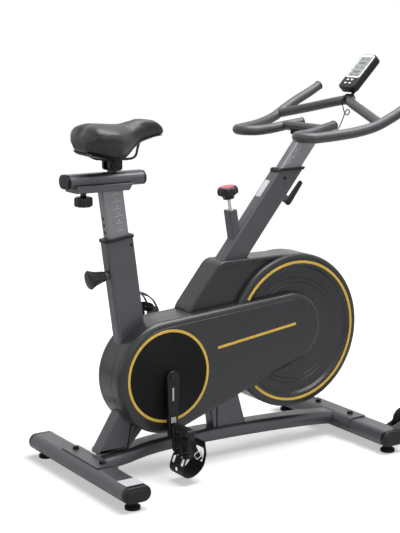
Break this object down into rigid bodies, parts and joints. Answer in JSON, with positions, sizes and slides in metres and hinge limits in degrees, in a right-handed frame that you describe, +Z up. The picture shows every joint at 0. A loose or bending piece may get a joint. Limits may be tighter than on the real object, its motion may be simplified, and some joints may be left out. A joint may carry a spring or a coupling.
{
  "type": "indoor exercise bike",
  "caption": "Upright spin bike with an enclosed belt-driven flywheel, adjustable saddle and looped handlebar, push-down brake knob, caged pedals, small console and levelling feet.",
  "frame": {"origin": "middle of the bike's footprint, on the floor under the levelling feet", "axes": "+X to the front of the bike, +Y to the rider's left, +Z up"},
  "size_m": [1.0972, 0.5866, 1.2011],
  "materials": {
    "frame_paint": "satin graphite paint",
    "post_metal": "satin silver grey",
    "cover_plastic": "fine-grained matte charcoal",
    "black_plastic": "satin black",
    "knob_plastic": "satin black",
    "rubber": "matte",
    "accent": "satin yellow",
    "bright_steel": "bright zinc",
    "iron": "machined and blackened",
    "black_metal": "satin black",
    "saddle_cover": "soft-sheen black vinyl",
    "button_white": "satin white"
  },
  "bodies": {
    "frame": {"bottom_beam": "frame_paint", "rear_leg": "frame_paint", "mid_strut": "frame_paint", "bottom_bracket_shell": "frame_paint", "seat_tube": "frame_paint", "seat_tube_collar": "black_plastic", "head_tube": "frame_paint", "head_tube_collar": "black_plastic", "brake_housing": "frame_paint", "rear_stabiliser": "frame_paint", "front_stabiliser": "frame_paint", "end_cap_rear_left": "black_plastic", "end_cap_rear_right": "black_plastic", "end_cap_front_left": "black_plastic", "end_cap_front_right": "black_plastic", "belt_cover_right": "cover_plastic", "belt_cover_left": "cover_plastic", "flywheel_cover_right": "cover_plastic", "flywheel_cover_left": "cover_plastic", "crank_ring_right": "accent", "flywheel_ring_right": "accent", "drive_belt": "rubber", "flywheel_fork": "frame_paint"},
    "level_foot_rear_left": {"foot_rear_left": "rubber"},
    "level_foot_rear_right": {"foot_rear_right": "rubber"},
    "level_foot_front_left": {"foot_front_left": "rubber"},
    "level_foot_front_right": {"foot_front_right": "rubber"},
    "wheel_left": {"transport_wheel_left": "black_plastic"},
    "wheel_right": {"transport_wheel_right": "black_plastic"},
    "flywheel_set": {"flywheel": "iron", "flywheel_pulley": "iron", "flywheel_axle": "bright_steel"},
    "crank_set": {"crank_axle": "bright_steel", "drive_pulley": "black_plastic", "crank_arm_right": "black_metal", "crank_arm_left": "black_metal"},
    "idler": {"idler_pulley": "black_plastic"},
    "pedal_set_right": {"pedal_right": "black_plastic", "toe_cage_right": "black_plastic"},
    "pedal_set_left": {"pedal_left": "black_plastic", "toe_cage_left": "black_plastic"},
    "seat_stem": {"seat_post": "post_metal"},
    "fore_aft_slider": {"seat_slider": "frame_paint"},
    "fore_aft_knob": {"slider_knob": "knob_plastic"},
    "height_pin": {"seat_pin": "knob_plastic"},
    "saddle_set": {"saddle": "saddle_cover", "saddle_clamp": "black_metal"},
    "handlebar_set": {"handlebar_post": "post_metal", "handlebar": "frame_paint", "console_clip": "black_plastic", "console_wire": "rubber"},
    "console_set": {"console": "black_plastic"},
    "button_1": {"console_button_1": "button_white"},
    "button_2": {"console_button_2": "button_white"},
    "button_3": {"console_button_3": "button_white"},
    "button_4": {"console_button_4": "button_white"},
    "post_lever": {"clamp_lever": "knob_plastic"},
    "brake_plunger": {"brake_rod": "bright_steel", "brake_pad": "rubber"},
    "brake_dial": {"brake_knob": "knob_plastic"}
  },
  "joints": [
    {"name": "flywheel_spin", "type": "hinge", "parent": "frame", "child": "flywheel_set", "pos_m": [0.21238, 0, 0.369], "axis": [0, 1, 0], "continuous": true},
    {"name": "crank_spin", "type": "hinge", "parent": "frame", "child": "crank_set", "pos_m": [-0.25862, 0, 0.2985], "axis": [0, 1, 0], "continuous": true},
    {"name": "idler_spin", "type": "hinge", "parent": "frame", "child": "idler", "pos_m": [-0.05362, -0.063, 0.22226], "axis": [0, 1, 0], "continuous": true},
    {"name": "pedal_right_spin", "type": "hinge", "parent": "crank_set", "child": "pedal_set_right", "pos_m": [-0.25862, -0.156, 0.1285], "axis": [0, 1, 0], "continuous": true},
    {"name": "pedal_left_spin", "type": "hinge", "parent": "crank_set", "child": "pedal_set_left", "pos_m": [-0.25862, 0.156, 0.4685], "axis": [0, 1, 0], "continuous": true},
    {"name": "seat_height", "type": "slide", "parent": "frame", "child": "seat_stem", "axis": [-0.1357, 0, 0.9907], "range_m": [-0.06, 0.06]},
    {"name": "seat_fore_aft", "type": "slide", "parent": "seat_stem", "child": "fore_aft_slider", "axis": [1, 0, 0], "range_m": [-0.04, 0.04]},
    {"name": "fore_aft_knob_turn", "type": "hinge", "parent": "seat_stem", "child": "fore_aft_knob", "pos_m": [-0.48762, 0, 0.828], "axis": [0, 0, 1], "range_deg": [-180, 180]},
    {"name": "height_pin_pull", "type": "slide", "parent": "frame", "child": "height_pin", "axis": [-0.9907, 0, -0.1357], "range_m": [0, 0.01], "stiffness_N_per_m": 600, "springref_m": -0.01},
    {"name": "saddle_tilt", "type": "hinge", "parent": "fore_aft_slider", "child": "saddle_set", "pos_m": [-0.39512, 0, 0.912], "axis": [0, 1, 0], "range_deg": [-8, 8]},
    {"name": "handlebar_height", "type": "slide", "parent": "frame", "child": "handlebar_set", "axis": [0.6293, 0, 0.7771], "range_m": [-0.04, 0.06]},
    {"name": "post_lever_turn", "type": "hinge", "parent": "frame", "child": "post_lever", "pos_m": [0.21858, 0, 0.7653], "axis": [0.7771, 0, -0.6293], "range_deg": [-90, 120]},
    {"name": "console_tilt", "type": "hinge", "parent": "handlebar_set", "child": "console_set", "pos_m": [0.47438, 0, 1.095], "axis": [0, 1, 0], "range_deg": [0, 25]},
    {"name": "button_1_press", "type": "slide", "parent": "console_set", "child": "button_1", "axis": [0.7071, 0, -0.7071], "range_m": [0, 0.0012], "stiffness_N_per_m": 600, "springref_m": -0.0008},
    {"name": "button_2_press", "type": "slide", "parent": "console_set", "child": "button_2", "axis": [0.7071, 0, -0.7071], "range_m": [0, 0.0012], "stiffness_N_per_m": 600, "springref_m": -0.0008},
    {"name": "button_3_press", "type": "slide", "parent": "console_set", "child": "button_3", "axis": [0.7071, 0, -0.7071], "range_m": [0, 0.0012], "stiffness_N_per_m": 600, "springref_m": -0.0008},
    {"name": "button_4_press", "type": "slide", "parent": "console_set", "child": "button_4", "axis": [0.7071, 0, -0.7071], "range_m": [0, 0.0012], "stiffness_N_per_m": 600, "springref_m": -0.0008},
    {"name": "brake_push", "type": "slide", "parent": "frame", "child": "brake_plunger", "axis": [0.165, 0, -0.9863], "range_m": [0, 0.0055], "stiffness_N_per_m": 3000, "springref_m": -0.004},
    {"name": "brake_dial_turn", "type": "hinge", "parent": "brake_plunger", "child": "brake_dial", "pos_m": [0.00738, 0, 0.75], "axis": [-0.165, 0, 0.9863], "range_deg": [-360, 360]},
    {"name": "wheel_left_roll", "type": "hinge", "parent": "frame", "child": "wheel_left", "pos_m": [0.50738, 0.235, 0.083], "axis": [0, 1, 0], "continuous": true},
    {"name": "wheel_right_roll", "type": "hinge", "parent": "frame", "child": "wheel_right", "pos_m": [0.50738, -0.235, 0.083], "axis": [0, 1, 0], "continuous": true},
    {"name": "level_rear_left_turn", "type": "hinge", "parent": "frame", "child": "level_foot_rear_left", "pos_m": [-0.48862, 0.26, 0.012], "axis": [0, 0, 1], "range_deg": [-180, 180]},
    {"name": "level_rear_right_turn", "type": "hinge", "parent": "frame", "child": "level_foot_rear_right", "pos_m": [-0.48862, -0.26, 0.012], "axis": [0, 0, 1], "range_deg": [-180, 180]},
    {"name": "level_front_left_turn", "type": "hinge", "parent": "frame", "child": "level_foot_front_left", "pos_m": [0.42338, 0.26, 0.012], "axis": [0, 0, 1], "range_deg": [-180, 180]},
    {"name": "level_front_right_turn", "type": "hinge", "parent": "frame", "child": "level_foot_front_right", "pos_m": [0.42338, -0.26, 0.012], "axis": [0, 0, 1], "range_deg": [-180, 180]}
  ],
  "couplings": [
    {"joint": "crank_spin", "follows": "flywheel_spin", "ratio": 0.25424},
    {"joint": "idler_spin", "follows": "flywheel_spin", "ratio": -1.875}
  ]
}
